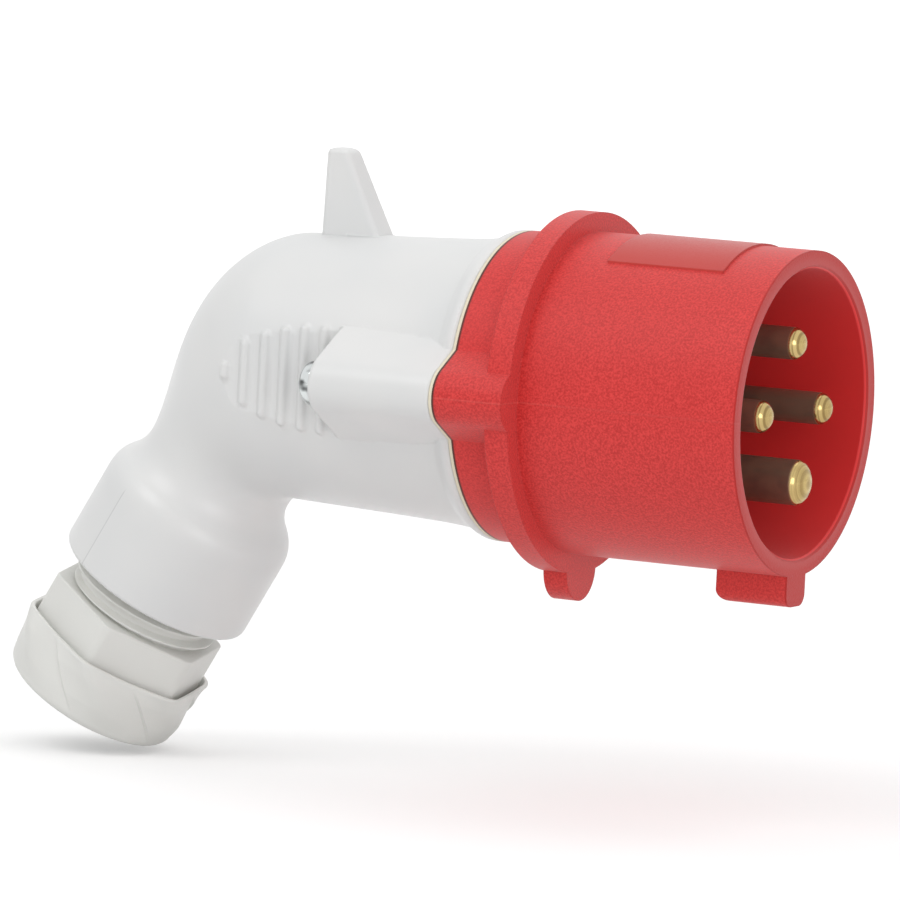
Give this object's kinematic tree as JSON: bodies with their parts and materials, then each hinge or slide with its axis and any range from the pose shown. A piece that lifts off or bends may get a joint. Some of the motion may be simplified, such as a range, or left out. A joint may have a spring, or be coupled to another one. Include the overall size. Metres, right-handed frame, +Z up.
{
  "type": "angled industrial plug",
  "caption": "Angled splash-proof power plug: red shroud round brass pins, light grey elbow handle with thumb fin, and a hand-turned cable gland.",
  "frame": {"origin": "centre of the collar's front face on the shroud's axis, where the plug seats on a socket", "axes": "+X along the shroud out of its open mouth, +Z up, with the earth pin and the key at the bottom; the handle runs back along -X and bends down to the gland"},
  "size_m": [0.1365, 0.061, 0.0979],
  "materials": {
    "red_shell": "fine spark-eroded grain outside, smooth inside",
    "grey_shell": "smooth moulded, light grey",
    "gland_plastic": "matt moulded, warm light grey",
    "carrier_plastic": "matt moulded, dark grey",
    "pin_brass": "turned",
    "screw_steel": "bright plated",
    "terminal_steel": "turned, zinc plated",
    "seal_rubber": "soft, cream",
    "grommet_rubber": "soft, black"
  },
  "bodies": {
    "plug_body": {"front_shroud": "red_shell", "pin_carrier": "carrier_plastic", "flange_gasket": "seal_rubber", "handle_shell": "grey_shell", "housing_screw_left": "screw_steel", "housing_screw_right": "screw_steel", "cable_grommet": "grommet_rubber", "phase_pin_1": "pin_brass", "phase_pin_2": "pin_brass", "phase_pin_3": "pin_brass", "earth_pin": "pin_brass", "phase_terminal_screw_1": "terminal_steel", "phase_terminal_screw_2": "terminal_steel", "phase_terminal_screw_3": "terminal_steel", "earth_terminal_screw": "terminal_steel"},
    "pressing_ring": {"thrust_ring": "carrier_plastic"},
    "gland": {"gland_screw": "gland_plastic"}
  },
  "joints": [
    {"name": "gland_advance", "type": "slide", "parent": "plug_body", "child": "pressing_ring", "axis": [-0.5, 0, -0.866], "range_m": [-0.00301, 0.00331]},
    {"name": "gland_turn", "type": "hinge", "parent": "pressing_ring", "child": "gland", "pos_m": [-0.07908, 0, -0.04395], "axis": [-0.5, 0, -0.866], "range_deg": [-490, 540]}
  ],
  "couplings": [
    {"joint": "gland_advance", "follows": "gland_turn", "m_per_rad": 0.00035014}
  ]
}
